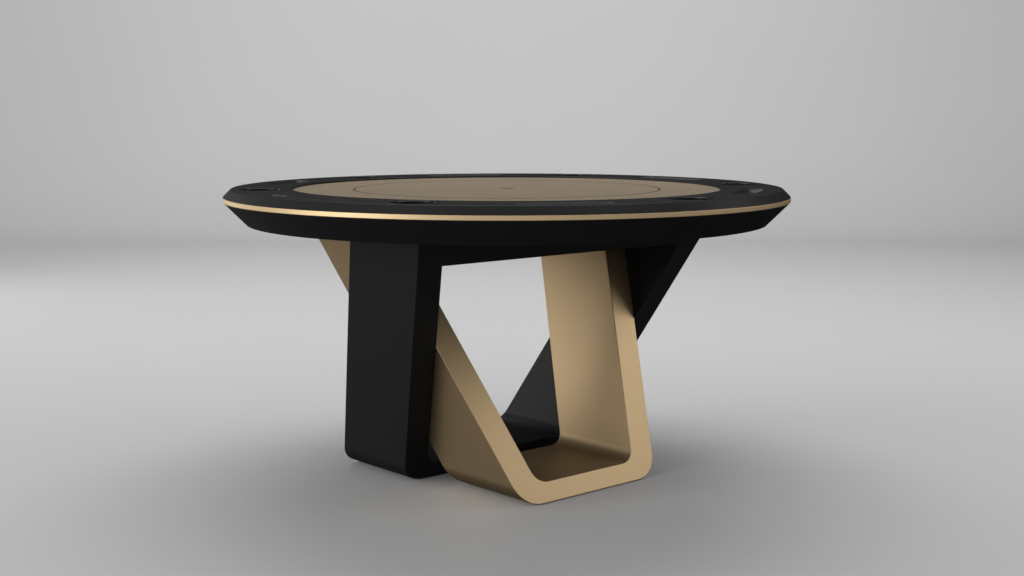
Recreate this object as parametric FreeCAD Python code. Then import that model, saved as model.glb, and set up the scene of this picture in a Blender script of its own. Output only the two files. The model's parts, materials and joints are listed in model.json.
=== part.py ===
"""Round poker table: a lacquered rail with cup holders and chip troughs round a
cloth playing field, carried by two crossed, leaning trapezoid frames.

Millimetres. +Z is up, the origin is on the floor under the centre of the top,
and X runs along the feet of both frames. The dark frame stands on the +Y side
and leans towards -Y; the gilt frame stands on the -Y side, leans towards +Y and
passes through the dark one.
"""
import math
import os

from FreeCAD import Vector
import Part

# ---- driving dimensions: top ----
HEIGHT = 787.0            # floor to rail surface
TOP_R = 762.0             # outside radius, at the trim band
CHAMFER = 20.3            # 45 degree chamfer round the rail
BAND_H = 11.2             # trim band, height
BAND_T = 6.0              # trim band, thickness
SKIRT_R = 701.5           # outside radius at the skirt's foot
SKIRT_DROP = 92.5         # rail surface to the underside of the top
SKIRT_T = 17.0            # skirt, measured level
PANEL_T = 18.0            # underside panel
FIELD_R = 581.0           # opening in the rail
FIELD_SINK = 5.0          # cloth surface below the rail surface
CLOTH_T = 1.5
FOAM_T = 7.0
FIELD_GAP = 1.0           # round the edge of the playing field

# ---- driving dimensions: rail features ----
SEATS = 6
SEAT_R = 661.0            # centre line of cup holders and chip troughs
LINER_R = 52.5            # cup liner, outside
LINER_WALL = 3.0
LINER_DEPTH = 58.0
FLANGE_R = 57.7
FLANGE_T = 2.0
LINER_GAP = 0.3
TROUGH_L = 247.0
TROUGH_W = 62.0
TROUGH_BALL_R = 45.0      # round cutter that forms the trough
SPLINE = (120.0, 40.0, 6.0)   # radial, across the joint, thickness
SPLINE_DROP = 4.0         # below the middle of the rail
CUT_PAST = 1.0            # cutters run past the faces they open

# ---- driving dimensions: carcass inside the top ----
RING_R = (556.0, 600.0)
BLOCK_R = (600.0, 698.0)
BLOCK_W = 60.0
JOIST_W = 36.0
JOIST_Y = (-340.0, 0.0, 340.0)
JOIST_CLEAR = 2.0         # joist ends to the support ring
GLUE_GAP = 0.5            # underside panel to the skirt

# ---- driving dimensions: base frames ----
LEAN = 0.5                # sideways travel per unit of height
FLARE_DEG = 15.2          # leg angle, measured in the leaning plane
FRAME_W = 281.0           # width of both frames, front to back
FOOT_INNER_Y = 60.0       # near face of each foot from the middle, on the floor
NEST_X = 240.0            # common face of dark and gilt legs, on the floor
DARK_LEG_T = 73.0
GILT_LEG_T = 78.0
FOOT_T = 52.0
CORNER_R = 82.0           # outside of the bottom corners
CORNER_INNER_R = 48.0
CORNER_TOP = 100.0        # top of the corner blocks, up the slope
BEAM_BOTTOM_Z = 621.5
GLIDE_REVEAL = 3.0        # feet stand off the floor by this much
GLIDE_R = 15.0
GLIDE_SUNK = 4.0
GLIDE_SPREAD = 105.0      # either side of the foot's middle
TOUCH = 1e-6              # points closer than this are one point

# ---- fasteners ----
DOWEL_R = 8.0
DOWEL_L = 80.0
DOWEL_SPREAD = 70.0       # either side of a joint's middle
LEG_DOWEL_SHARE = 0.5     # part of the dowel below the corner joint
SHORT_DOWEL_SHARE = 0.6   # part of the dowel before the beam and foot joints
CROSS_DOWEL_L = 70.0
CROSS_SPREAD = 60.0
BOLT_R = 5.0
BOLT_GRIP = 46.0
BOLT_HEAD = (9.0, 5.5)
BOLT_END = 90.0           # outer bolts, in from the beam end
BOLT_SPREAD = 75.0
WASHER = (12.0, 2.5)
INSERT_R = 8.0
INSERT_L = 24.0
INSERT_CLEAR = 8.0        # hole below the insert
PLATE_T = 6.0
PLATE_W = 210.0
PLATE_END = 50.0          # plate ends, in from the beam ends
SCREW_R = 2.5
SCREW_HEAD = (5.0, 3.0)
SCREW_SUNK = 1.0
RAIL_SCREW_R = (622.0, 678.0)
RAIL_SCREW_L = 49.0
FIELD_SCREWS = 8
FIELD_SCREW_R = 568.0
FIELD_SCREW_L = 54.0
PANEL_SCREW_R = 650.0
PANEL_SCREW_L = 42.0

# ---- derived ----
RAIL_BOTTOM = HEIGHT - CHAMFER - BAND_H
BAND_TOP = HEIGHT - CHAMFER
UNDERSIDE = HEIGHT - SKIRT_DROP
PANEL_TOP = UNDERSIDE + PANEL_T
FIELD_TOP = HEIGHT - FIELD_SINK
CLOTH_BOTTOM = FIELD_TOP - CLOTH_T
FOAM_BOTTOM = CLOTH_BOTTOM - FOAM_T
COS_LEAN = 1.0 / math.hypot(1.0, LEAN)
SIN_LEAN = LEAN * COS_LEAN
FLARE = math.radians(FLARE_DEG)
SLOPE_BOTTOM = GLIDE_REVEAL / COS_LEAN
SLOPE_BEAM = BEAM_BOTTOM_Z / COS_LEAN
SLOPE_TOP = UNDERSIDE / COS_LEAN
STEP_DEG = 360.0 / (2 * SEATS)
Z_AXIS = Vector(0, 0, 1)
ORIGIN = Vector(0, 0, 0)


# ---- helpers ----
def disc(radius, z0, z1, x=0.0, y=0.0):
    return Part.makeCylinder(radius, z1 - z0, Vector(x, y, z0))


def annulus(inner, outer, z0, z1):
    return disc(outer, z0, z1).cut(disc(inner, z0, z1))


def box(x0, x1, y0, y1, z0, z1):
    return Part.makeBox(x1 - x0, y1 - y0, z1 - z0, Vector(x0, y0, z0))


def turned(shape, degrees):
    copy = shape.copy()
    copy.rotate(ORIGIN, Z_AXIS, degrees)
    return copy


def revolved(outline, degrees=360.0):
    """Solid of revolution of an (r, z) outline, centred on the X axis."""
    wire = Part.makePolygon([Vector(r, 0, z) for r, z in outline + outline[:1]])
    solid = Part.Face(wire).revolve(ORIGIN, Z_AXIS, degrees)
    return turned(solid, -degrees / 2) if degrees < 360 else solid


def around(count, start_deg, radius):
    """Places (x, y, angle) evenly round a circle."""
    for index in range(count):
        angle = start_deg + index * 360.0 / count
        yield (radius * math.cos(math.radians(angle)),
               radius * math.sin(math.radians(angle)), angle)


def cut_all(shape, tools):
    return shape.cut(tools) if tools else shape


def export(name, *solids):
    shape = solids[0] if len(solids) == 1 else Part.makeCompound(list(solids))
    shape.exportStep(os.path.join("parts", name + ".step"))


# ---- rail ----
def rail_segment():
    """One twelfth of the rail, with its chamfer and the rebate behind the band."""
    outline = [(FIELD_R, RAIL_BOTTOM), (TOP_R - BAND_T, RAIL_BOTTOM), (TOP_R - BAND_T, BAND_TOP),
               (TOP_R, BAND_TOP), (TOP_R - CHAMFER, HEIGHT), (FIELD_R, HEIGHT)]
    return revolved(outline, STEP_DEG)


def trough_cutter():
    """Ball-nosed cut, parallel to Y, centred at the seat radius."""
    rise = math.sqrt(TROUGH_BALL_R ** 2 - (TROUGH_W / 2) ** 2)
    half_run = (TROUGH_L - TROUGH_W) / 2
    centre = Vector(SEAT_R, -half_run, HEIGHT + rise)
    bar = Part.makeCylinder(TROUGH_BALL_R, 2 * half_run, centre, Vector(0, 1, 0))
    near = Part.makeSphere(TROUGH_BALL_R, centre)
    far = Part.makeSphere(TROUGH_BALL_R, centre + Vector(0, 2 * half_run, 0))
    return bar.fuse([near, far]).removeSplitter()


def spline_at_joint():
    """Loose tongue across a rail joint, centred on the X axis."""
    radial, across, thick = SPLINE
    mid_z = (RAIL_BOTTOM + HEIGHT) / 2 - SPLINE_DROP
    return box(SEAT_R - radial / 2, SEAT_R + radial / 2, -across / 2, across / 2,
               mid_z - thick / 2, mid_z + thick / 2)


def screw(x, y, z_head, length):
    """Flat-headed screw driven upwards from z_head."""
    head_r, head_h = SCREW_HEAD
    return disc(head_r, z_head, z_head + head_h, x, y).fuse(
        disc(SCREW_R, z_head + head_h, z_head + length, x, y))


def make_rail():
    splines = [turned(spline_at_joint(), angle) for _, _, angle in around(2 * SEATS, STEP_DEG / 2, SEAT_R)]
    screws = [screw(x, y, PANEL_TOP + SCREW_SUNK, RAIL_SCREW_L)
              for radius in RAIL_SCREW_R
              for x, y, _ in around(2 * SEATS, STEP_DEG / 2, radius)]
    hole = disc(LINER_R + LINER_GAP, RAIL_BOTTOM - CUT_PAST, HEIGHT + CUT_PAST, SEAT_R)
    rebate = disc(FLANGE_R + LINER_GAP, HEIGHT - FLANGE_T, HEIGHT + CUT_PAST, SEAT_R)
    trough_block = rail_segment().cut(trough_cutter())
    cup_block = rail_segment().cut([hole, rebate])
    for seat in range(SEATS):
        for name, block, angle in (("rail_trough_block", trough_block, 2 * STEP_DEG * seat),
                                   ("rail_cup_block", cup_block, 2 * STEP_DEG * seat + STEP_DEG)):
            export(f"{name}_{seat + 1}", cut_all(turned(block, angle), splines + screws))
    export("rail_splines", *splines)
    export("rail_screws", *screws)
    return screws


def make_cup_liners():
    inner = LINER_R - LINER_WALL
    outline = [(0, HEIGHT - LINER_DEPTH), (LINER_R, HEIGHT - LINER_DEPTH), (LINER_R, HEIGHT - FLANGE_T),
               (FLANGE_R, HEIGHT - FLANGE_T), (FLANGE_R, HEIGHT), (inner, HEIGHT),
               (inner, HEIGHT - LINER_DEPTH + LINER_WALL), (0, HEIGHT - LINER_DEPTH + LINER_WALL)]
    liner = revolved(outline)
    for index, (x, y, _) in enumerate(around(SEATS, STEP_DEG, SEAT_R)):
        export(f"cup_liner_{index + 1}", liner.translated(Vector(x, y, 0)))


# ---- top carcass and playing field ----
def make_trim_and_skirt():
    export("trim_band", annulus(TOP_R - BAND_T, TOP_R, RAIL_BOTTOM, BAND_TOP))
    export("skirt_ring", revolved([(SKIRT_R, UNDERSIDE), (TOP_R, RAIL_BOTTOM),
                                   (TOP_R - SKIRT_T, RAIL_BOTTOM), (SKIRT_R - SKIRT_T, UNDERSIDE)]))


def make_carcass(rail_screws, bolts):
    field_screws = [screw(x, y, PANEL_TOP + SCREW_SUNK, FIELD_SCREW_L)
                    for x, y, _ in around(FIELD_SCREWS, 180.0 / FIELD_SCREWS, FIELD_SCREW_R)]
    panel_screws = [screw(x, y, UNDERSIDE, PANEL_SCREW_L)
                    for x, y, _ in around(2 * SEATS, STEP_DEG / 2, PANEL_SCREW_R)]
    edge_low = SKIRT_R - SKIRT_T - GLUE_GAP
    edge_high = edge_low + PANEL_T * (TOP_R - SKIRT_R) / (RAIL_BOTTOM - UNDERSIDE)
    panel = revolved([(0, UNDERSIDE), (edge_low, UNDERSIDE), (edge_high, PANEL_TOP), (0, PANEL_TOP)])
    export("underside_panel", cut_all(panel, panel_screws + bolts))
    ring = annulus(RING_R[0], RING_R[1], PANEL_TOP, RAIL_BOTTOM)
    export("support_ring", cut_all(ring, field_screws))
    block = box(BLOCK_R[0], BLOCK_R[1], -BLOCK_W / 2, BLOCK_W / 2, PANEL_TOP, RAIL_BOTTOM)
    block = block.cut(disc(RING_R[1], PANEL_TOP, RAIL_BOTTOM))
    blocks = [cut_all(turned(block, angle), rail_screws + panel_screws)
              for _, _, angle in around(2 * SEATS, STEP_DEG / 2, SEAT_R)]
    export("rail_blocks", *blocks)
    for name, y in zip(("front", "middle", "back"), JOIST_Y):
        far_edge = abs(y) + JOIST_W / 2
        half = math.sqrt(RING_R[0] ** 2 - far_edge ** 2) - JOIST_CLEAR
        export(f"deck_joist_{name}", box(-half, half, y - JOIST_W / 2, y + JOIST_W / 2,
                                         PANEL_TOP, RAIL_BOTTOM))
    board = disc(FIELD_R - FIELD_GAP - CLOTH_T, RAIL_BOTTOM, FOAM_BOTTOM)
    export("playfield_board", cut_all(board, field_screws))
    export("playfield_foam", disc(FIELD_R - FIELD_GAP - CLOTH_T, FOAM_BOTTOM, CLOTH_BOTTOM))
    sheet = disc(FIELD_R - FIELD_GAP, CLOTH_BOTTOM, FIELD_TOP)
    hem = annulus(FIELD_R - FIELD_GAP - CLOTH_T, FIELD_R - FIELD_GAP, RAIL_BOTTOM, CLOTH_BOTTOM)
    export("playfield_cloth", sheet.fuse(hem).removeSplitter())
    export("field_screws", *field_screws)
    export("panel_screws", *panel_screws)


# ---- base frames ----
class Frame:
    """A leaning trapezoid frame; side is +1 for the dark one, -1 for the gilt."""

    def __init__(self, name, side, outer_x, leg_t):
        self.name = name
        self.side = side
        self.outer_x = outer_x
        self.inner_x = outer_x - leg_t / math.cos(FLARE)

    def point(self, x, slope):
        """Place in the frame's near face: x across, slope measured up the lean."""
        y = self.side * (FOOT_INNER_Y - slope * SIN_LEAN)
        return Vector(x, y, slope * COS_LEAN)

    def x_at(self, floor_x, slope):
        return floor_x + slope * math.tan(FLARE)

    def prism(self, edges):
        face = Part.Face(Part.Wire(edges))
        return face.extrude(Vector(0, self.side * FRAME_W, 0))

    def polygon(self, corners):
        points = [self.point(x, slope) for x, slope in corners]
        return self.prism([Part.makeLine(a, b) for a, b in zip(points, points[1:] + points[:1])])

    def bend(self, floor_x, slope, radius):
        """Start, middle and end of the arc that rounds a bottom corner."""
        corner_x = self.x_at(floor_x, slope)
        turn = math.pi / 2 - FLARE
        run = radius * math.tan(turn / 2)
        centre = (corner_x - run, slope + radius)
        middle = -math.pi / 2 + turn / 2
        return [(corner_x - run, slope),
                (centre[0] + radius * math.cos(middle), centre[1] + radius * math.sin(middle)),
                (corner_x + run * math.sin(FLARE), slope + run * math.cos(FLARE))]

    def mirrored(self, shape):
        return shape.mirror(ORIGIN, Vector(1, 0, 0))

    def foot_end(self):
        """Where the foot meets the corner blocks: clear of both bends."""
        outer = self.bend(self.outer_x, SLOPE_BOTTOM, CORNER_R)
        inner = self.bend(self.inner_x, SLOPE_BOTTOM + FOOT_T, CORNER_INNER_R)
        return min(outer[0][0], inner[0][0])

    def foot(self, end):
        return self.polygon([(-end, SLOPE_BOTTOM), (end, SLOPE_BOTTOM),
                             (end, SLOPE_BOTTOM + FOOT_T), (-end, SLOPE_BOTTOM + FOOT_T)])

    def corner(self, end):
        """Right corner block, from the foot joint to the leg joint."""
        outer = [self.point(*p) for p in self.bend(self.outer_x, SLOPE_BOTTOM, CORNER_R)]
        inner = [self.point(*p) for p in self.bend(self.inner_x, SLOPE_BOTTOM + FOOT_T, CORNER_INNER_R)]
        path = [self.point(end, SLOPE_BOTTOM), outer[0]]
        top_outer = self.point(self.x_at(self.outer_x, CORNER_TOP), CORNER_TOP)
        top_inner = self.point(self.x_at(self.inner_x, CORNER_TOP), CORNER_TOP)
        foot_top = self.point(end, SLOPE_BOTTOM + FOOT_T)
        edges = [Part.Arc(*outer).toShape(),
                 Part.makeLine(outer[2], top_outer),
                 Part.makeLine(top_outer, top_inner),
                 Part.makeLine(top_inner, inner[2]),
                 Part.Arc(inner[2], inner[1], inner[0]).toShape()]
        if inner[0].distanceToPoint(foot_top) > TOUCH:
            edges.append(Part.makeLine(inner[0], foot_top))
        edges.append(Part.makeLine(foot_top, path[0]))
        if path[0].distanceToPoint(path[1]) > TOUCH:
            edges.append(Part.makeLine(path[0], path[1]))
        return self.prism(edges)

    def leg(self):
        corners = [(self.x_at(self.inner_x, CORNER_TOP), CORNER_TOP),
                   (self.x_at(self.outer_x, CORNER_TOP), CORNER_TOP),
                   (self.x_at(self.outer_x, SLOPE_BEAM), SLOPE_BEAM),
                   (self.x_at(self.inner_x, SLOPE_BEAM), SLOPE_BEAM)]
        return self.polygon(corners)

    def beam(self):
        low = self.x_at(self.outer_x, SLOPE_BEAM)
        high = self.x_at(self.outer_x, SLOPE_TOP)
        return self.polygon([(-low, SLOPE_BEAM), (low, SLOPE_BEAM), (high, SLOPE_TOP), (-high, SLOPE_TOP)])

    def middle_y(self, slope):
        return self.side * (FOOT_INNER_Y + FRAME_W / 2 - slope * SIN_LEAN)

    def dowels(self, foot_end):
        """Blind dowels across every glued joint, two to a joint."""
        up_leg = Vector(math.sin(FLARE), -self.side * SIN_LEAN * math.cos(FLARE),
                        COS_LEAN * math.cos(FLARE))
        along = Vector(1, 0, 0)
        middle_x = (self.outer_x + self.inner_x) / 2
        joints = [(self.x_at(middle_x, CORNER_TOP), CORNER_TOP, up_leg, LEG_DOWEL_SHARE),
                  (self.x_at(middle_x, SLOPE_BEAM), SLOPE_BEAM, up_leg, SHORT_DOWEL_SHARE),
                  (foot_end, SLOPE_BOTTOM + FOOT_T / 2, along, SHORT_DOWEL_SHARE)]
        found = []
        for x, slope, direction, share in joints:
            for offset in (-DOWEL_SPREAD, DOWEL_SPREAD):
                centre = Vector(x, self.middle_y(slope) + offset, slope * COS_LEAN)
                start = centre - direction * (DOWEL_L * share)
                dowel = Part.makeCylinder(DOWEL_R, DOWEL_L, start, direction)
                found += [dowel, self.mirrored(dowel)]
        return found

    def glides(self, foot_end):
        x = foot_end - 2 * GLIDE_R
        middle = self.side * (FOOT_INNER_Y + FRAME_W / 2)
        return [disc(GLIDE_R, 0, GLIDE_REVEAL + GLIDE_SUNK, sx * x, middle + dy)
                for sx in (-1, 1) for dy in (-GLIDE_SPREAD, GLIDE_SPREAD)]


def crossing_dowels(frame):
    """Dowels that tie the nested legs together where the two frames cross."""
    height = (FOOT_INNER_Y + FRAME_W / 2) / LEAN
    x = frame.x_at(frame.inner_x, height / COS_LEAN)
    found = []
    for y in (-CROSS_SPREAD, CROSS_SPREAD):
        dowel = Part.makeCylinder(DOWEL_R, CROSS_DOWEL_L, Vector(x - CROSS_DOWEL_L / 2, y, height),
                                  Vector(1, 0, 0))
        found += [dowel, frame.mirrored(dowel)]
    return found


def bolt_places(frame):
    reach = frame.x_at(frame.outer_x, SLOPE_TOP) - BOLT_END
    middle = frame.middle_y(SLOPE_TOP)
    return [(reach * share, middle + dy)
            for share in (-1.0, -1 / 3, 1 / 3, 1.0)
            for dy in (-BOLT_SPREAD, BOLT_SPREAD)]


def base_bolts(frame):
    seat = PANEL_TOP + PLATE_T + WASHER[1]
    head_r, head_h = BOLT_HEAD
    return [disc(BOLT_R, seat - BOLT_GRIP, seat, x, y).fuse(disc(head_r, seat, seat + head_h, x, y))
            for x, y in bolt_places(frame)]


def inserts(frame):
    insert = annulus(BOLT_R, INSERT_R, UNDERSIDE - INSERT_L, UNDERSIDE)
    return [insert.translated(Vector(x, y, 0)) for x, y in bolt_places(frame)]


def make_frame_parts(frame, scribe, cross):
    """Export one frame; scribe holds the neighbours that it is cut round."""
    name = frame.name
    end = frame.foot_end()
    glides = frame.glides(end)
    dowels = frame.dowels(end)
    holes = [disc(INSERT_R, UNDERSIDE - INSERT_L - INSERT_CLEAR, UNDERSIDE, x, y)
             for x, y in bolt_places(frame)]
    tools = dowels + glides + cross + scribe
    export(f"{name}_foot", frame.foot(end).cut(tools))
    pieces = {"corner": frame.corner(end), "leg": frame.leg()}
    for kind, right in pieces.items():
        export(f"{name}_{kind}_right", right.cut(tools))
        export(f"{name}_{kind}_left", frame.mirrored(right).cut(tools))
    export(f"{name}_beam", frame.beam().cut(tools + holes))
    export(f"{name}_frame_dowels", *dowels)
    export(f"{name}_floor_glides", *glides)


def make_base():
    dark_outer = NEST_X + DARK_LEG_T / math.cos(FLARE)
    dark = Frame("dark", 1, dark_outer, DARK_LEG_T)
    gilt = Frame("gilt", -1, NEST_X, GILT_LEG_T)
    cross = crossing_dowels(dark)
    make_frame_parts(dark, [], cross)
    make_frame_parts(gilt, [dark.beam()], cross)
    export("crossing_dowels", *cross)
    washer = annulus(BOLT_R, WASHER[0], PANEL_TOP + PLATE_T, PANEL_TOP + PLATE_T + WASHER[1])
    bolts = []
    washers = []
    all_inserts = []
    for frame in (dark, gilt):
        own = base_bolts(frame)
        bolts += own
        all_inserts += inserts(frame)
        washers += [washer.translated(Vector(x, y, 0)) for x, y in bolt_places(frame)]
        half = frame.x_at(frame.outer_x, SLOPE_TOP) - PLATE_END
        middle = frame.middle_y(SLOPE_TOP)
        plate = box(-half, half, middle - PLATE_W / 2, middle + PLATE_W / 2, PANEL_TOP, PANEL_TOP + PLATE_T)
        export(f"{frame.name}_clamp_plate", cut_all(plate, own))
    export("base_bolts", *bolts)
    export("bolt_washers", *washers)
    export("beam_inserts", *all_inserts)
    return bolts


def main():
    os.makedirs("parts", exist_ok=True)
    rail_screws = make_rail()
    make_cup_liners()
    make_trim_and_skirt()
    bolts = make_base()
    make_carcass(rail_screws, bolts)


main()
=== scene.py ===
"""Looks of the round poker table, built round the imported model."""
import json
import math

import bmesh
import bpy
from mathutils import Matrix, Vector


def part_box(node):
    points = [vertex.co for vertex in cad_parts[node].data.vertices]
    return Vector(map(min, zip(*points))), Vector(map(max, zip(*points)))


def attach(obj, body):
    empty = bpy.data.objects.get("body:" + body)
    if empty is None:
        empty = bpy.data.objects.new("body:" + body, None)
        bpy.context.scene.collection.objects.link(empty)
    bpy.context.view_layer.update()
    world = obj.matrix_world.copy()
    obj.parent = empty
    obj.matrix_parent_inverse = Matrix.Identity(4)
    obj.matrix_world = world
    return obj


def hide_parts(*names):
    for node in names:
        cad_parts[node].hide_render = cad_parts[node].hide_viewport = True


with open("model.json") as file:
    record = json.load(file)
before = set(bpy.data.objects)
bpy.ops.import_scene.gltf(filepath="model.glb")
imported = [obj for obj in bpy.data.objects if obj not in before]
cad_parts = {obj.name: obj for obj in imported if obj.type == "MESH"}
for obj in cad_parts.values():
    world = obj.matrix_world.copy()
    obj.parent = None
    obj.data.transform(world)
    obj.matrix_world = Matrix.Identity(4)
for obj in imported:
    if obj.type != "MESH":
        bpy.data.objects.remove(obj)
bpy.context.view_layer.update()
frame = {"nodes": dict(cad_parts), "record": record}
SCENE = bpy.context.scene

# ---- sizes read from the frame, in metres ----
RAIL_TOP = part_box("rail_cup_block_1")[1][2]
RAIL_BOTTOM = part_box("rail_cup_block_1")[0][2]
TOP_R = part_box("trim_band")[1][0]
BAND_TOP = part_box("trim_band")[1][2]
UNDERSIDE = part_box("skirt_ring")[0][2]
CLOTH_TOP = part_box("playfield_cloth")[1][2]
CLOTH_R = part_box("playfield_cloth")[1][0]
FOAM_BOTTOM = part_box("playfield_foam")[0][2]
FOAM_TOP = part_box("playfield_foam")[1][2]
FOAM_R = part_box("playfield_foam")[1][0]
LINER_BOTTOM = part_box("cup_liner_2")[0][2]
FLANGE_R = (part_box("cup_liner_2")[1][0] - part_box("cup_liner_2")[0][0]) / 2
SEAT_R = (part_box("cup_liner_2")[1][1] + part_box("cup_liner_2")[0][1]) / 2
FOOT_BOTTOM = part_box("dark_foot")[0][2]
FOOT_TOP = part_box("dark_foot")[1][2]
BEAM_HALF = {"dark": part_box("dark_beam")[1][0], "gilt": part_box("gilt_beam")[1][0]}
FOOT_FAR_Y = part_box("dark_foot")[1][1]

# ---- the design's own ratios and small sizes ----
SEATS = 6
FIELD_R = 0.581
CHAMFER = RAIL_TOP - BAND_TOP
BAND_T = 0.006
SKIRT_R = 0.7015
SKIRT_T = 0.017
LINER_R = 0.0525
LINER_WALL = 0.003
FLANGE_T = 0.002
LINER_GAP = 0.0003
TROUGH_L = 0.247
TROUGH_W = 0.062
TROUGH_BALL_R = 0.045
LEAN = 0.5
FLARE = math.radians(15.2)
FRAME_W = 0.281
LEG_T = {"dark": 0.073, "gilt": 0.078}
BEAM_BOTTOM = 0.6215
CORNER_R = 0.082
CORNER_INNER_R = 0.048
LINE_R = 0.4154
LINE_W = 0.005
MARK_R = 0.020
MARK_INNER_R = 0.016
DIAMOND_R = 0.011
DIAMOND_WAIST = 0.55      # share of the diamond's radius at its waist corners
INK_H = 0.00025
INK_EDGE = 0.0002
CLOTH_T = 0.0012
CLOTH_TURN = 0.0030       # radius where the cloth turns over the board's edge
CLOTH_HEM = 0.012         # how far the cloth runs down past the foam
FOAM_GAP = 0.0003         # between the foam's top and its CAD face
EASE = 0.0006             # small rounding at rims and ridges
EASE_MID = 0.0002
LINER_DRAFT = 0.0012
RIDGE_H = 0.0008          # ridge in the liner's floor
RIDGE_OUT = 0.030
RIDGE_IN = 0.026
RIDGE_SLOPE = 0.001
RAIL_EDGE = 0.0007
FRAME_EDGE = 0.0016
CUT_PAST = 0.01           # how far a cutter runs past the faces it cuts
BEAM_CUT_UP = 0.02
BEAM_CUT_NEAR = 0.001
COS_LEAN = 1.0 / math.hypot(1.0, LEAN)
SIN_LEAN = LEAN * COS_LEAN

# ---- camera ----
CAMERA_AZIMUTH = math.radians(41.4)
CAMERA_AWAY = 3.8863
CAMERA_HEIGHT = 1.0107
CAMERA_DOWN = math.radians(7.3766)
CAMERA_YAW = math.radians(0.205)
LENS = 50.0


# ================= node helpers =================
class Nodes:
    """A short way to write a material's nodes."""

    def __init__(self, name):
        self.material = bpy.data.materials.new(name)
        self.material.use_nodes = True
        self.tree = self.material.node_tree
        self.tree.nodes.clear()
        self.out = self.tree.nodes.new("ShaderNodeOutputMaterial")
        self.shader = self.tree.nodes.new("ShaderNodeBsdfPrincipled")
        self.link(self.shader.outputs[0], self.out.inputs["Surface"])
        self.coords = self.tree.nodes.new("ShaderNodeTexCoord").outputs["Object"]

    def link(self, a, b):
        self.tree.links.new(a, b)

    def set(self, **values):
        for key, value in values.items():
            self.shader.inputs[key.replace("_", " ")].default_value = value

    def scaled(self, scale):
        node = self.tree.nodes.new("ShaderNodeMapping")
        node.inputs["Scale"].default_value = scale
        self.link(self.coords, node.inputs["Vector"])
        return node.outputs[0]

    def noise(self, scale, detail=3.0, rough=0.5, vector=None):
        node = self.tree.nodes.new("ShaderNodeTexNoise")
        node.inputs["Scale"].default_value = scale
        node.inputs["Detail"].default_value = detail
        node.inputs["Roughness"].default_value = rough
        self.link(vector or self.coords, node.inputs["Vector"])
        return node.outputs["Fac"]

    def wave(self, scale, vector=None, axis="X"):
        node = self.tree.nodes.new("ShaderNodeTexWave")
        node.bands_direction = axis
        node.inputs["Scale"].default_value = scale
        self.link(vector or self.coords, node.inputs["Vector"])
        return node.outputs["Fac"]

    def remap(self, value, low, high, to_low, to_high):
        node = self.tree.nodes.new("ShaderNodeMapRange")
        for key, number in zip(("From Min", "From Max", "To Min", "To Max"), (low, high, to_low, to_high)):
            node.inputs[key].default_value = number
        self.link(value, node.inputs["Value"])
        return node.outputs[0]

    def math(self, operation, a, b):
        node = self.tree.nodes.new("ShaderNodeMath")
        node.operation = operation
        for socket, value in zip(node.inputs, (a, b)):
            if isinstance(value, (int, float)):
                socket.default_value = value
            else:
                self.link(value, socket)
        return node.outputs[0]

    def blend(self, factor, colour_a, colour_b):
        node = self.tree.nodes.new("ShaderNodeMix")
        node.data_type = "RGBA"
        self.link(factor, node.inputs["Factor"])
        for socket, value in zip([s for s in node.inputs if s.type == "RGBA"], (colour_a, colour_b)):
            if isinstance(value, tuple):
                socket.default_value = value
            else:
                self.link(value, socket)
        return [s for s in node.outputs if s.type == "RGBA"][0]

    def bump(self, height, distance, strength=1.0, under=None):
        node = self.tree.nodes.new("ShaderNodeBump")
        node.inputs["Distance"].default_value = distance
        node.inputs["Strength"].default_value = strength
        self.link(height, node.inputs["Height"])
        if under is not None:
            self.link(under, node.inputs["Normal"])
        return node.outputs[0]

    def edge(self, low=0.5, high=0.56):
        node = self.tree.nodes.new("ShaderNodeNewGeometry")
        return self.remap(node.outputs["Pointiness"], low, high, 0.0, 1.0)

    def to(self, output, name):
        self.link(output, self.shader.inputs[name])


def srgb(red, green, blue):
    """Linear colour from an 8-bit screen colour."""
    def channel(value):
        value /= 255.0
        return value / 12.92 if value <= 0.04045 else ((value + 0.055) / 1.055) ** 2.4
    return (channel(red), channel(green), channel(blue), 1.0)


# ================= materials =================
def lacquer(name, dark, light, metallic, rough_low, rough_high, peel=0.00001):
    """Sprayed finish: faint cloudiness, fine orange peel, and slightly rubbed edges."""
    n = Nodes(name)
    cloud = n.noise(1.6, 2.0, 0.4)
    base = n.blend(n.remap(cloud, 0.3, 0.7, 0.0, 1.0), dark, light)
    rubbed = tuple(min(1.0, c * 1.35 + 0.004) for c in light[:3]) + (1.0,)
    worn = n.math("MULTIPLY", n.edge(0.53, 0.62), n.remap(n.noise(40.0, 5.0), 0.45, 0.7, 0.0, 0.5))
    n.to(n.blend(worn, base, rubbed), "Base Color")
    flakes = n.noise(1800.0, 2.0, 0.6)
    n.to(n.remap(flakes, 0.3, 0.7, rough_low, rough_high), "Roughness")
    fine = n.bump(flakes, peel * 0.5)
    n.to(n.bump(n.noise(260.0, 2.0), peel, 1.0, fine), "Normal")
    n.set(Metallic=metallic)
    return n


def dark_lacquer():
    n = lacquer("dark_lacquer", (0.0100, 0.0100, 0.0101, 1.0), (0.0112, 0.0112, 0.0113, 1.0), 0.0, 0.34, 0.40)
    n.set(Specular_IOR_Level=0.2)
    return n.material


def gilt_lacquer():
    n = lacquer("gilt_lacquer", srgb(190, 165, 128), srgb(194, 169, 132), 1.0, 0.47, 0.53)
    return n.material


def gilt_trim():
    n = lacquer("gilt_trim", srgb(214, 189, 147), srgb(220, 195, 153), 1.0, 0.48, 0.54)
    return n.material


def liner_plastic():
    n = Nodes("liner_plastic")
    swirl = n.noise(30.0, 5.0)
    n.to(n.blend(swirl, (0.004, 0.004, 0.0043, 1.0), (0.007, 0.007, 0.0075, 1.0)), "Base Color")
    n.to(n.remap(n.noise(220.0, 4.0), 0.35, 0.7, 0.08, 0.18), "Roughness")
    n.to(n.bump(n.noise(500.0, 2.0), 0.00001), "Normal")
    return n.material


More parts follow.
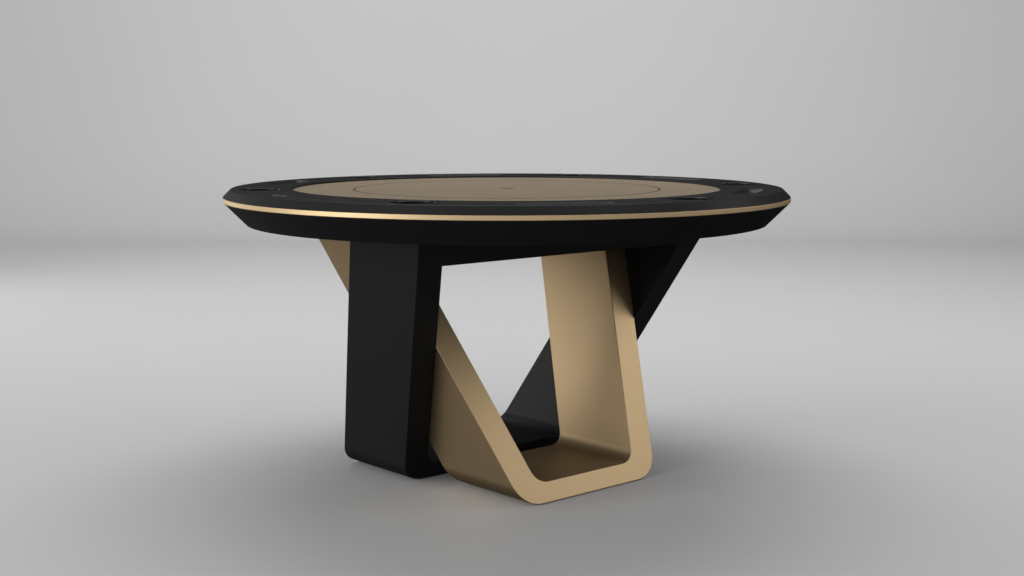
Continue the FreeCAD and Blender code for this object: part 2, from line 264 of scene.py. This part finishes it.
def field_cloth():
    """Tight speed cloth: a twill weave under a soft nap with slight colour flecks."""
    n = Nodes("field_cloth")
    fleck = n.noise(420.0, 3.0, 0.6)
    cloud = n.noise(5.0, 4.0, 0.6)
    mix = n.math("ADD", n.math("MULTIPLY", fleck, 0.6), n.math("MULTIPLY", cloud, 0.4))
    n.to(n.blend(n.remap(mix, 0.38, 0.62, 0.0, 1.0), srgb(125, 111, 92), srgb(133, 119, 100)), "Base Color")
    diagonal = n.tree.nodes.new("ShaderNodeMapping")
    diagonal.inputs["Rotation"].default_value = (0.0, 0.0, math.radians(45))
    n.link(n.coords, diagonal.inputs["Vector"])
    twill = n.wave(300.0, diagonal.outputs[0])
    thread = n.wave(420.0, axis="Y")
    weave = n.math("ADD", n.math("MULTIPLY", twill, 0.6), n.math("MULTIPLY", thread, 0.4))
    nap = n.bump(n.noise(1400.0, 3.0), 0.00012)
    n.to(n.bump(weave, 0.00012, 0.7, nap), "Normal")
    n.to(n.remap(cloud, 0.3, 0.7, 0.86, 0.95), "Roughness")
    n.set(Specular_IOR_Level=0.05, Sheen_Weight=0.03, Sheen_Roughness=0.5)
    return n.material


def printed_line(name, colour):
    """Ink worked into the cloth: broken slightly by the weave."""
    n = Nodes(name)
    lighter = tuple(min(1.0, c * 1.5) for c in colour[:3]) + (1.0,)
    n.to(n.blend(n.remap(n.noise(700.0, 4.0), 0.5, 0.75, 0.0, 1.0), colour, lighter), "Base Color")
    n.to(n.bump(n.wave(300.0), 0.00008), "Normal")
    n.set(Roughness=0.9, Specular_IOR_Level=0.15)
    return n.material


def foam():
    n = Nodes("foam")
    cells = n.tree.nodes.new("ShaderNodeTexVoronoi")
    cells.inputs["Scale"].default_value = 900.0
    n.link(n.coords, cells.inputs["Vector"])
    # Painted shade: the cell pits, lowest in the bump, are painted darker than the cell rims.
    n.to(n.blend(cells.outputs["Distance"], srgb(52, 52, 55), srgb(84, 84, 88)), "Base Color")
    n.to(n.bump(cells.outputs["Distance"], 0.0003), "Normal")
    n.set(Roughness=0.95)
    return n.material


def raw_board():
    """Plain board: long faint grain with short dark pores."""
    n = Nodes("raw_board")
    grain = n.noise(9.0, 6.0, 0.6, n.scaled((1.0, 14.0, 14.0)))
    pores = n.noise(60.0, 3.0, 0.6, n.scaled((1.0, 18.0, 18.0)))
    n.to(n.blend(n.remap(grain, 0.3, 0.7, 0.0, 1.0), srgb(168, 132, 92), srgb(206, 174, 130)), "Base Color")
    n.to(n.remap(pores, 0.3, 0.7, 0.55, 0.75), "Roughness")
    n.to(n.bump(pores, 0.0002), "Normal")
    return n.material


def steel():
    n = Nodes("steel")
    brushed = n.noise(30.0, 4.0, 0.6, n.scaled((1.0, 60.0, 60.0)))
    n.to(n.blend(brushed, srgb(150, 152, 156), srgb(190, 192, 196)), "Base Color")
    n.to(n.remap(brushed, 0.3, 0.7, 0.25, 0.45), "Roughness")
    n.to(n.bump(brushed, 0.00003), "Normal")
    n.set(Metallic=1.0)
    return n.material


def glide_plastic():
    n = Nodes("glide_plastic")
    grit = n.noise(500.0, 4.0)
    n.to(n.blend(grit, srgb(18, 18, 19), srgb(34, 34, 36)), "Base Color")
    n.to(n.remap(grit, 0.3, 0.7, 0.5, 0.7), "Roughness")
    n.to(n.bump(grit, 0.00005), "Normal")
    return n.material


MATERIALS = {make.__name__: make() for make in
             (dark_lacquer, gilt_lacquer, gilt_trim, liner_plastic, field_cloth, foam, raw_board,
              steel, glide_plastic)}


def dress_cad_nodes():
    for entry in frame["record"]["subparts"]:
        node = frame["nodes"][entry["node"]]
        node.data.materials.clear()
        node.data.materials.append(MATERIALS[entry["material_slot"]])


# ================= mesh helpers =================
def place(name, mesh, material, body, replaced=()):
    """Adds a piece on a body; it stands for the replaced CAD nodes."""
    piece = bpy.data.objects.new(name, mesh)
    SCENE.collection.objects.link(piece)
    mesh.materials.clear()
    mesh.materials.append(material)
    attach(piece, body)
    if replaced:
        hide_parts(*replaced)
    return piece


def smooth(piece, degrees=40.0):
    """Smooth shading that keeps broad faces flat right up to their rounded edges."""
    for face in piece.data.polygons:
        face.use_smooth = True
    piece.data.set_sharp_from_angle(angle=math.radians(degrees))
    weighted = piece.modifiers.new("flat_faces", "WEIGHTED_NORMAL")
    weighted.weight = 100
    weighted.keep_sharp = True
    applied(piece)


def rounded(corners, steps=5):
    """Outline of (a, b, radius) corners with each one rounded by an arc."""
    points = []
    count = len(corners)
    for index, (a, b, radius) in enumerate(corners):
        here = Vector((a, b))
        if radius <= 0.0:
            points.append((a, b))
            continue
        back = (Vector(corners[index - 1][:2]) - here).normalized()
        ahead = (Vector(corners[(index + 1) % count][:2]) - here).normalized()
        half = back.angle(ahead) / 2
        run = radius / math.tan(half)
        centre = here + (back + ahead).normalized() * (radius / math.sin(half))
        start = here + back * run - centre
        end = here + ahead * run - centre
        sweep = start.angle_signed(end)
        for step in range(steps + 1):
            turn = Matrix.Rotation(-sweep * step / steps, 2)
            point = centre + turn @ start
            points.append((point.x, point.y))
    return points


def lathe(name, outline, segments=288, centre=(0.0, 0.0), closed=True):
    """Mesh turned from an (r, z) outline; points on the axis become single vertices."""
    bm = bmesh.new()
    rings = []
    for radius, z in outline:
        if radius < 1e-7:
            rings.append([bm.verts.new((centre[0], centre[1], z))])
            continue
        ring = []
        for index in range(segments):
            angle = 2 * math.pi * index / segments
            ring.append(bm.verts.new((centre[0] + radius * math.cos(angle),
                                      centre[1] + radius * math.sin(angle), z)))
        rings.append(ring)
    pairs = list(zip(rings, rings[1:]))
    if closed:
        pairs.append((rings[-1], rings[0]))
    for low, high in pairs:
        for index in range(segments):
            following = (index + 1) % segments
            corners = [low[index % len(low)], low[following % len(low)],
                       high[following % len(high)], high[index % len(high)]]
            unique = list(dict.fromkeys(corners))
            if len(unique) > 2:
                bm.faces.new(unique)
    bmesh.ops.recalc_face_normals(bm, faces=bm.faces)
    mesh = bpy.data.meshes.new(name)
    bm.to_mesh(mesh)
    bm.free()
    return mesh


def around(count, start):
    for index in range(count):
        yield start + index * 2 * math.pi / count


def applied(piece):
    """Bakes a piece's modifiers into its mesh."""
    bpy.context.view_layer.update()
    graph = bpy.context.evaluated_depsgraph_get()
    mesh = bpy.data.meshes.new_from_object(piece.evaluated_get(graph))
    old = piece.data
    piece.modifiers.clear()
    piece.data = mesh
    mesh.name = piece.name
    bpy.data.meshes.remove(old)
    return mesh


def carve(piece, cutters):
    """Cuts the joined cutter meshes out of a piece."""
    bm = bmesh.new()
    for mesh in cutters:
        bm.from_mesh(mesh)
    joined = bpy.data.meshes.new("cutter")
    bm.to_mesh(joined)
    bm.free()
    tool = bpy.data.objects.new("cutter", joined)
    SCENE.collection.objects.link(tool)
    boolean = piece.modifiers.new("carve", "BOOLEAN")
    boolean.operation = "DIFFERENCE"
    boolean.solver = "EXACT"
    boolean.object = tool
    applied(piece)
    bpy.data.objects.remove(tool)


def soften(piece, width, degrees=30.0, segments=3):
    bevel = piece.modifiers.new("soften", "BEVEL")
    bevel.width = width
    bevel.segments = segments
    bevel.limit_method = "ANGLE"
    bevel.angle_limit = math.radians(degrees)
    applied(piece)


# ================= top =================
def cup_cutter(angle):
    centre = (SEAT_R * math.cos(angle), SEAT_R * math.sin(angle))
    hole = LINER_R + LINER_GAP
    rim = FLANGE_R + LINER_GAP
    low = RAIL_BOTTOM - CUT_PAST
    high = RAIL_TOP + CUT_PAST
    outline = [(0.0, low), (hole, low), (hole, RAIL_TOP - FLANGE_T), (rim, RAIL_TOP - FLANGE_T),
               (rim, RAIL_TOP - EASE), (rim + EASE_MID, RAIL_TOP - EASE_MID),
               (rim + EASE, RAIL_TOP), (rim + EASE, high), (0.0, high)]
    return lathe("cup_cutter", outline, 96, centre, closed=False)


def trough_cutter(angle):
    """Ball-ended cut lying across the radius at that angle."""
    half_run = (TROUGH_L - TROUGH_W) / 2
    rise = math.sqrt(TROUGH_BALL_R ** 2 - (TROUGH_W / 2) ** 2)
    arc = 24
    outline = []
    for step in range(arc + 1):
        turn = math.pi / 2 * step / arc
        outline.append((TROUGH_BALL_R * math.sin(turn), -half_run - TROUGH_BALL_R * math.cos(turn)))
    outline += [(radius, -z) for radius, z in reversed(outline)]
    mesh = lathe("trough_cutter", outline, 128, closed=False)
    mesh.transform(Matrix.Rotation(angle, 4, "Z") @ Matrix.Translation((SEAT_R, 0.0, RAIL_TOP + rise))
                   @ Matrix.Rotation(-math.pi / 2, 4, "X"))
    return mesh


def make_rail():
    outline = rounded([(FIELD_R, RAIL_BOTTOM, 0), (TOP_R - BAND_T, RAIL_BOTTOM, 0),
                       (TOP_R - BAND_T, BAND_TOP, 0), (TOP_R, BAND_TOP, 0.0008),
                       (TOP_R - CHAMFER, RAIL_TOP, 0.0025), (FIELD_R, RAIL_TOP, 0.0020)])
    rail = place("rail_lacquered", lathe("rail", outline, 360), MATERIALS["dark_lacquer"], "table",
                 [f"rail_{kind}_block_{seat + 1}" for kind in ("cup", "trough")
                                  for seat in range(SEATS)])
    cutters = [cup_cutter(angle) for angle in around(SEATS, math.pi / SEATS)]
    cutters += [trough_cutter(angle) for angle in around(SEATS, 0.0)]
    carve(rail, cutters)
    soften(rail, RAIL_EDGE, 33.0, 2)
    smooth(rail)


def make_trim_and_skirt():
    low = RAIL_BOTTOM
    band = lathe("trim_band", rounded([(TOP_R - BAND_T, low, 0), (TOP_R, low, 0.0006),
                                       (TOP_R, BAND_TOP, 0.0006), (TOP_R - BAND_T, BAND_TOP, 0)]), 360)
    smooth(place("trim_band_gilt", band, MATERIALS["gilt_trim"], "table", ["trim_band"]))
    outline = rounded([(SKIRT_R - SKIRT_T, UNDERSIDE, 0), (SKIRT_R, UNDERSIDE, 0.002), (TOP_R, low, 0.0012),
                       (TOP_R - SKIRT_T, low, 0)])
    skirt = lathe("skirt", outline, 360)
    smooth(place("skirt_lacquered", skirt, MATERIALS["dark_lacquer"], "table",
                 ["skirt_ring"]))


def make_cup_liners():
    inner = LINER_R - LINER_WALL
    floor = LINER_BOTTOM + LINER_WALL
    ridge = floor + RIDGE_H
    outline = rounded([(0.0, LINER_BOTTOM, 0), (LINER_R, LINER_BOTTOM, 0.004),
                       (LINER_R, RAIL_TOP - FLANGE_T, 0), (FLANGE_R, RAIL_TOP - FLANGE_T, 0),
                       (FLANGE_R, RAIL_TOP, 0.0008), (inner, RAIL_TOP, 0.0018),
                       (inner - LINER_DRAFT, floor, 0.005), (RIDGE_OUT, floor, EASE),
                       (RIDGE_OUT - RIDGE_SLOPE, ridge, EASE), (RIDGE_IN + RIDGE_SLOPE, ridge, EASE),
                       (RIDGE_IN, floor, EASE), (0.0, floor, 0)], 6)
    for index, angle in enumerate(around(SEATS, math.pi / SEATS)):
        centre = (SEAT_R * math.cos(angle), SEAT_R * math.sin(angle))
        mesh = lathe(f"liner_{index + 1}", outline, 128, centre, closed=False)
        smooth(place(f"cup_liner_moulding_{index + 1}", mesh, MATERIALS["liner_plastic"],
                     f"cup_{index + 1}", [f"cup_liner_{index + 1}"]))


def make_field():
    hem_low = FOAM_BOTTOM - CLOTH_HEM
    turn = CLOTH_TURN
    centre_r = CLOTH_R - turn
    centre_z = CLOTH_TOP - turn
    rings = 48
    outer = [(CLOTH_R * step / rings, CLOTH_TOP) for step in range(rings - 2)]
    outer += [(centre_r + turn * math.sin(a), centre_z + turn * math.cos(a))
              for a in [math.pi / 2 * k / 8 for k in range(9)]]
    outer += [(CLOTH_R, (CLOTH_TOP + hem_low) / 2), (CLOTH_R, hem_low)]
    under = [(CLOTH_R - CLOTH_T, hem_low), (CLOTH_R - CLOTH_T, centre_z)]
    under += [(centre_r + (turn - CLOTH_T) * math.sin(a), centre_z + (turn - CLOTH_T) * math.cos(a))
              for a in [math.pi / 2 * k / 6 for k in range(5, -1, -1)]]
    under += [(CLOTH_R * step / rings, CLOTH_TOP - CLOTH_T) for step in range(rings - 3, -1, -1)]
    mesh = lathe("cloth", outer + under, 240, closed=False)
    cloth = place("playfield_cloth_sheet", mesh, MATERIALS["field_cloth"], "table",
                  ["playfield_cloth"])
    smooth(cloth, 60.0)
    foam_top = FOAM_TOP - FOAM_GAP
    foam_mesh = lathe("foam", rounded([(0.0, FOAM_BOTTOM, 0), (FOAM_R, FOAM_BOTTOM, 0.0015),
                                       (FOAM_R, foam_top, 0.003), (0.0, foam_top, 0)]), 240, closed=False)
    pad = place("playfield_foam_pad", foam_mesh, MATERIALS["foam"], "table", ["playfield_foam"])
    smooth(pad, 60.0)


def printed_ring(name, inner, outer, segments):
    """A flat ring of ink on the cloth with bevelled edges."""
    low = CLOTH_TOP
    high = CLOTH_TOP + INK_H
    outline = [(inner, low), (inner + INK_EDGE, high), (outer - INK_EDGE, high), (outer, low)]
    return lathe(name, outline, segments)


def make_printing():
    """The betting line and a plain centre mark, printed on the cloth."""
    line = printed_ring("line", LINE_R - LINE_W / 2, LINE_R + LINE_W / 2, 360)
    place("betting_line_print", line, printed_line("line_ink", srgb(58, 50, 42)), "table")
    mark = printed_ring("mark", MARK_INNER_R, MARK_R, 96)
    bm = bmesh.new()
    bm.from_mesh(mark)
    rows = []
    for z in (CLOTH_TOP, CLOTH_TOP + INK_H):
        row = []
        for k, a in enumerate(around(8, math.pi / 8)):
            share = 1 if k % 2 else DIAMOND_WAIST
            row.append(bm.verts.new((DIAMOND_R * math.cos(a) * share, DIAMOND_R * math.sin(a) * share, z)))
        rows.append(row)
    bottom, roof = rows
    bm.faces.new(roof)
    bm.faces.new(bottom[::-1])
    for k in range(8):
        bm.faces.new((bottom[k], bottom[(k + 1) % 8], roof[(k + 1) % 8], roof[k]))
    bmesh.ops.recalc_face_normals(bm, faces=bm.faces)
    bm.to_mesh(mark)
    bm.free()
    place("centre_mark_print", mark, printed_line("mark_ink", srgb(70, 60, 48)), "table")


# ================= base =================
def frame_outline(name):
    """Matching outer and inner outlines, (x, slope), of one leaning frame."""
    slope_low = FOOT_BOTTOM / COS_LEAN
    slope_foot = FOOT_TOP / COS_LEAN
    slope_beam = BEAM_BOTTOM / COS_LEAN
    slope_top = UNDERSIDE / COS_LEAN
    spread = math.tan(FLARE)
    outer_floor = BEAM_HALF[name] - slope_top * spread
    inner_floor = outer_floor - LEG_T[name] / math.cos(FLARE)
    steps = 16

    def trapezoid(floor_x, low, high, radius):
        x_low = floor_x + low * spread
        x_high = floor_x + high * spread
        return rounded([(-x_low, low, radius), (x_low, low, radius),
                        (x_high, high, 0), (-x_high, high, 0)], steps)

    return (trapezoid(outer_floor, slope_low, slope_top, CORNER_R),
            trapezoid(inner_floor, slope_foot, slope_beam, CORNER_INNER_R))


def frame_mesh(name, side):
    outer, inner = frame_outline(name)
    near_floor_y = FOOT_FAR_Y + LEAN * FOOT_BOTTOM - FRAME_W
    bm = bmesh.new()
    faces = []
    for offset in (0.0, FRAME_W):
        for outline in (outer, inner):
            near_y = near_floor_y + offset
            faces.append([bm.verts.new((x, side * (near_y - slope * SIN_LEAN), slope * COS_LEAN))
                          for x, slope in outline])
    near_outer, near_inner, far_outer, far_inner = faces
    count = len(outer)
    for low, high in ((near_outer, near_inner), (far_outer, far_inner), (near_outer, far_outer),
                      (near_inner, far_inner)):
        for index in range(count):
            following = (index + 1) % count
            bm.faces.new((low[index], low[following], high[following], high[index]))
    bmesh.ops.recalc_face_normals(bm, faces=bm.faces)
    mesh = bpy.data.meshes.new(name)
    bm.to_mesh(mesh)
    bm.free()
    return mesh


def beam_cutter():
    """The dark beam's own prism, which the gilt frame is scribed round."""
    spread = math.tan(FLARE)
    near_floor_y = FOOT_FAR_Y + LEAN * FOOT_BOTTOM - FRAME_W
    half = BEAM_HALF["dark"]
    bm = bmesh.new()
    rows = []
    for z in (BEAM_BOTTOM, UNDERSIDE + BEAM_CUT_UP):
        for offset in (-BEAM_CUT_NEAR, FRAME_W):
            rows.append([bm.verts.new((x, near_floor_y + offset - z * LEAN, z))
                         for x in (-half - spread, half + spread)])
    low_near, low_far, high_near, high_far = rows
    for quad in ((low_near, low_far), (high_near, high_far), (low_near, high_near), (low_far, high_far)):
        bm.faces.new((quad[0][0], quad[0][1], quad[1][1], quad[1][0]))
    for end in (0, 1):
        bm.faces.new((low_near[end], low_far[end], high_far[end], high_near[end]))
    bmesh.ops.recalc_face_normals(bm, faces=bm.faces)
    mesh = bpy.data.meshes.new("beam_cutter")
    bm.to_mesh(mesh)
    bm.free()
    return mesh


def make_base():
    for name, side in (("dark", 1), ("gilt", -1)):
        nodes = [f"{name}_foot", f"{name}_beam"]
        nodes += [f"{name}_{kind}_{hand}" for kind in ("corner", "leg") for hand in ("left", "right")]
        slot = f"{name}_lacquer"
        piece = place(f"{name}_frame_lacquered", frame_mesh(name, side), MATERIALS[slot], "table",
                      nodes)
        if name == "gilt":
            carve(piece, [beam_cutter()])
        soften(piece, FRAME_EDGE, 35.0, 3)
        smooth(piece)


# ================= stage, light and camera =================
UPWARD = (0.0, 0.0, 1.0)
FRONT_LEFT = (-0.45, -0.9, 0.0)
LEVELS_BY_HEIGHT = ((0.12, 0.0), (0.65, 1.0), (1.0, 0.3))     # (place along the direction, level)
LEVELS_BY_SIDE = ((0.1, 0.03), (1.0, 0.95))


def make_stage():
    n = Nodes("floor_paint")
    cloud = n.noise(0.6, 3.0)
    n.to(n.blend(cloud, (0.56, 0.56, 0.56, 1.0), (0.59, 0.59, 0.59, 1.0)), "Base Color")
    n.set(Roughness=0.5, Specular_IOR_Level=0.2)
    depth, width, bend, rise = 6.5, 40.0, 3.0, 9.0
    profile = [(-14.0, 0.0), (depth, 0.0)]
    profile += [(depth + bend * math.sin(a), bend - bend * math.cos(a))
                for a in [math.pi / 2 * k / 24 for k in range(1, 25)]]
    profile.append((depth + bend, rise))
    bm = bmesh.new()
    rows = [[bm.verts.new((x, y, z)) for x in (-width / 2, width / 2)] for y, z in profile]
    for low, high in zip(rows, rows[1:]):
        bm.faces.new((low[0], low[1], high[1], high[0]))
    mesh = bpy.data.meshes.new("floor")
    bm.to_mesh(mesh)
    bm.free()
    for face in mesh.polygons:
        face.use_smooth = True
    mesh.transform(Matrix.Rotation(-CAMERA_AZIMUTH, 4, "Z"))
    floor = bpy.data.objects.new("studio_floor", mesh)
    floor.data.materials.append(n.material)
    SCENE.collection.objects.link(floor)
    floor.visible_glossy = False


def area_light(name, position, target, size, power):
    """A soft panel; position and target are x right, y away from the camera and z up."""
    light = bpy.data.lights.new(name, "AREA")
    light.shape = "RECTANGLE"
    light.size, light.size_y = size
    light.energy = power
    lamp = bpy.data.objects.new(name, light)
    turn = Matrix.Rotation(-CAMERA_AZIMUTH, 4, "Z")
    start = turn @ Vector(position)
    aim = turn @ Vector(target)
    lamp.location = start
    lamp.rotation_euler = (aim - start).to_track_quat("-Z", "Y").to_euler()
    SCENE.collection.objects.link(lamp)


def make_world():
    """Soft surroundings, dark below the horizon and towards the back, bright at the front left."""
    world = bpy.data.worlds.new("studio")
    world.use_nodes = True
    tree = world.node_tree
    sky = tree.nodes.new("ShaderNodeTexCoord").outputs["Generated"]
    turn = Matrix.Rotation(-CAMERA_AZIMUTH, 4, "Z")
    shades = []
    for direction, stops in ((UPWARD, LEVELS_BY_HEIGHT), (FRONT_LEFT, LEVELS_BY_SIDE)):
        along = tree.nodes.new("ShaderNodeVectorMath")
        along.operation = "DOT_PRODUCT"
        along.inputs[1].default_value = turn @ Vector(direction) * 0.5
        shift = tree.nodes.new("ShaderNodeMath")
        shift.inputs[1].default_value = 0.5
        ramp = tree.nodes.new("ShaderNodeValToRGB")
        while len(ramp.color_ramp.elements) < len(stops):
            ramp.color_ramp.elements.new(0.5)
        for element, (position, level) in zip(ramp.color_ramp.elements, stops):
            element.position = position
            element.color = (level, level, level, 1.0)
        tree.links.new(sky, along.inputs[0])
        tree.links.new(along.outputs["Value"], shift.inputs[0])
        tree.links.new(shift.outputs["Value"], ramp.inputs["Fac"])
        shades.append(ramp.outputs["Color"])
    both = tree.nodes.new("ShaderNodeMath")
    both.operation = "MULTIPLY"
    tree.links.new(shades[0], both.inputs[0])
    tree.links.new(shades[1], both.inputs[1])
    tree.links.new(both.outputs["Value"], tree.nodes["Background"].inputs["Strength"])
    tree.nodes["Background"].inputs["Color"].default_value = (1.0, 1.0, 1.0, 1.0)
    SCENE.world = world


def make_lights():
    centre = (0.0, 0.0, 0.5)
    area_light("overhead_panel", (0.0, 1.7, 4.8), centre, (4.5, 3.0), 120.0)
    area_light("left_front_panel", (-5.6, -3.2, 2.0), centre, (4.2, 3.0), 190.0)
    area_light("left_back_panel", (-4.4, 3.0, 1.2), centre, (2.4, 2.0), 32.0)
    area_light("right_key", (4.4, 0.4, 2.7), centre, (3.4, 2.8), 52.0)
    area_light("backdrop_wash", (0.0, 3.5, 5.5), (0.0, 9.0, 0.6), (8.0, 1.5), 210.0)


def make_camera():
    data = bpy.data.cameras.new("camera")
    data.lens = LENS
    data.sensor_width = 36.0
    camera = bpy.data.objects.new("camera", data)
    heading = CAMERA_AZIMUTH + CAMERA_YAW
    camera.location = (-CAMERA_AWAY * math.sin(CAMERA_AZIMUTH), -CAMERA_AWAY * math.cos(CAMERA_AZIMUTH),
                       CAMERA_HEIGHT)
    camera.rotation_euler = (math.pi / 2 - CAMERA_DOWN, 0.0, -heading)
    SCENE.collection.objects.link(camera)
    SCENE.camera = camera
    SCENE.view_settings.view_transform = "Standard"


make_camera()
make_stage()
make_world()
make_lights()
dress_cad_nodes()
make_rail()
make_trim_and_skirt()
make_cup_liners()
make_field()
make_printing()
make_base()
